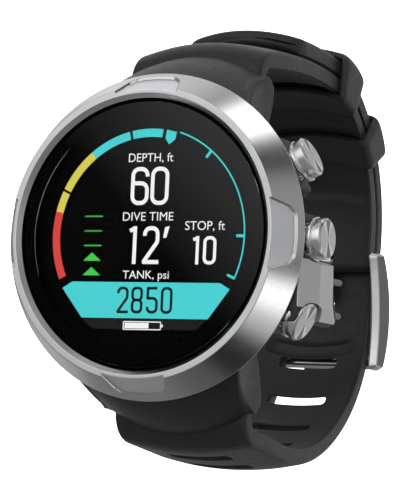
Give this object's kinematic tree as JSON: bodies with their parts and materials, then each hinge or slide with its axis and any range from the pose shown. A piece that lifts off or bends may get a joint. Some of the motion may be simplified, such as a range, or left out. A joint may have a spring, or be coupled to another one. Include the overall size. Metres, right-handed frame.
{
  "type": "wrist dive computer",
  "caption": "Wrist dive computer with a steel bezel over a polymer case, side push-buttons, a colour display and a closed rubber strap with a tongue buckle.",
  "frame": {"origin": "centre of the case back's outer face", "axes": "+Y out of the case back towards the wrist, +Z towards 12 o'clock, +X towards the push-buttons at 3 o'clock; the dial faces -Y"},
  "size_m": [0.0552, 0.0778, 0.0764],
  "materials": {
    "case_polymer": "satin moulded polymer",
    "bezel_steel": "circular brushed steel",
    "seal_rubber": "moulded rubber",
    "crystal_glass": "polished mineral glass",
    "dial_black": "black ring under the glass",
    "display_face": "lit colour display",
    "inner_plastic": "moulded plastic",
    "board_green": "green solder mask",
    "battery_foil": "laminated foil pouch",
    "motor_steel": "plated steel",
    "sensor_steel": "stainless can",
    "cover_steel": "bead-blasted steel",
    "contact_gold": "gold-plated studs",
    "back_steel": "brushed steel",
    "screw_steel": "turned steel",
    "button_steel": "polished steel with a radial brushed face",
    "bush_steel": "turned steel",
    "spring_steel": "spring wire",
    "bar_steel": "turned steel",
    "strap_rubber": "matt silicone rubber",
    "keeper_rubber": "matt silicone rubber",
    "buckle_steel": "brushed steel"
  },
  "bodies": {
    "watch": {"mid_case": "case_polymer", "bezel": "bezel_steel", "bezel_seal": "seal_rubber", "crystal_gasket": "seal_rubber", "case_back_seal": "seal_rubber", "crystal": "crystal_glass", "dial_ring": "dial_black", "display_module": "display_face", "chassis": "inner_plastic", "tact_switches": "inner_plastic", "circuit_board": "board_green", "battery": "battery_foil", "vibration_motor": "motor_steel", "pressure_sensor": "sensor_steel", "sensor_cover": "cover_steel", "contact_studs": "contact_gold", "case_back": "back_steel", "case_back_screws": "screw_steel", "upper_button_bush": "bush_steel", "middle_button_bush": "bush_steel", "lower_button_bush": "bush_steel", "upper_bar_tube": "bar_steel", "lower_bar_tube": "bar_steel", "upper_strap": "strap_rubber", "lower_strap": "strap_rubber", "buckle_rod": "buckle_steel"},
    "upper_button": {"upper_button": "button_steel", "upper_button_spring": "spring_steel", "upper_button_seal": "seal_rubber", "upper_button_clip": "spring_steel"},
    "middle_button": {"middle_button": "button_steel", "middle_button_spring": "spring_steel", "middle_button_seal": "seal_rubber", "middle_button_clip": "spring_steel"},
    "lower_button": {"lower_button": "button_steel", "lower_button_spring": "spring_steel", "lower_button_seal": "seal_rubber", "lower_button_clip": "spring_steel"},
    "motor_rotor": {"motor_rotor": "motor_steel"},
    "upper_bar_pin": {"upper_bar_pin": "bar_steel", "upper_bar_spring": "spring_steel"},
    "lower_bar_pin": {"lower_bar_pin": "bar_steel", "lower_bar_spring": "spring_steel"},
    "upper_keeper": {"upper_keeper": "keeper_rubber"},
    "lower_keeper": {"lower_keeper": "keeper_rubber"},
    "buckle_frame": {"buckle_frame": "buckle_steel"},
    "buckle_tongue": {"buckle_tongue": "buckle_steel"}
  },
  "joints": [
    {"name": "upper_button_press", "type": "slide", "parent": "watch", "child": "upper_button", "axis": [-0.887, 0, -0.4617], "range_m": [0, 0.001], "stiffness_N_per_m": 1200, "springref_m": -0.001},
    {"name": "middle_button_press", "type": "slide", "parent": "watch", "child": "middle_button", "axis": [-1, 0, 0], "range_m": [0, 0.001], "stiffness_N_per_m": 1200, "springref_m": -0.001},
    {"name": "lower_button_press", "type": "slide", "parent": "watch", "child": "lower_button", "axis": [-0.887, 0, 0.4617], "range_m": [0, 0.001], "stiffness_N_per_m": 1200, "springref_m": -0.001},
    {"name": "upper_bar_release", "type": "slide", "parent": "watch", "child": "upper_bar_pin", "axis": [-1, 0, 0], "range_m": [0, 0.0013], "stiffness_N_per_m": 900, "springref_m": -0.001},
    {"name": "lower_bar_release", "type": "slide", "parent": "watch", "child": "lower_bar_pin", "axis": [-1, 0, 0], "range_m": [0, 0.0013], "stiffness_N_per_m": 900, "springref_m": -0.001},
    {"name": "motor_spin", "type": "hinge", "parent": "watch", "child": "motor_rotor", "pos_m": [-0.0154, -0.005, 0], "axis": [0, 0, 1], "continuous": true},
    {"name": "upper_keeper_slide", "type": "hinge", "parent": "watch", "child": "upper_keeper", "pos_m": [0, 0.03167, 0.00795], "axis": [1, 0, 0], "range_deg": [-9, 3]},
    {"name": "lower_keeper_slide", "type": "hinge", "parent": "watch", "child": "lower_keeper", "pos_m": [0, 0.03167, 0.00795], "axis": [1, 0, 0], "range_deg": [-8, 8]},
    {"name": "buckle_hinge", "type": "hinge", "parent": "watch", "child": "buckle_frame", "pos_m": [0, 0.05566, 0.00231], "axis": [1, 0, 0], "range_deg": [0, 4]},
    {"name": "tongue_hinge", "type": "hinge", "parent": "buckle_frame", "child": "buckle_tongue", "pos_m": [0, 0.05566, 0.00231], "axis": [1, 0, 0], "range_deg": [0, 6]}
  ]
}
